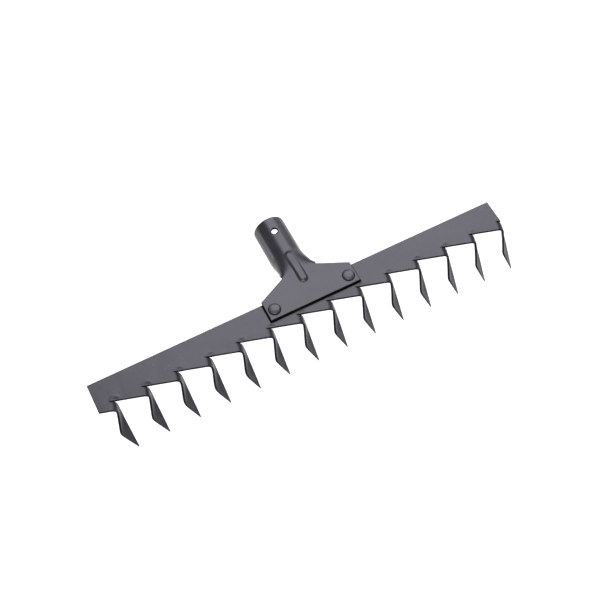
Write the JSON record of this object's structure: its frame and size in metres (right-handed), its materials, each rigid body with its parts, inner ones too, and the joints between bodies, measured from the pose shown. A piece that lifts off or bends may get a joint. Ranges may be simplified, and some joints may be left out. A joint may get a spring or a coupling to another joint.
{
  "type": "garden rake head",
  "caption": "Pressed steel garden rake head with folded, twisted teeth and a riveted tube socket for a round handle.",
  "frame": {"origin": "centre of the socket's mouth, on the handle's axis, level with the short lip", "axes": "+X along the strip, +Y out of the socket up the handle, +Z away from the teeth, out of the strip's outer face"},
  "size_m": [0.4098, 0.133, 0.0524],
  "materials": {
    "head_paint": "satin dark grey paint on pressed steel",
    "socket_paint": "satin dark grey paint on pressed steel",
    "rivet_paint": "satin dark grey paint on steel rivets"
  },
  "bodies": {
    "root": {"rake_head": "head_paint", "handle_socket": "socket_paint", "rivet_left": "rivet_paint", "rivet_right": "rivet_paint"}
  },
  "joints": []
}
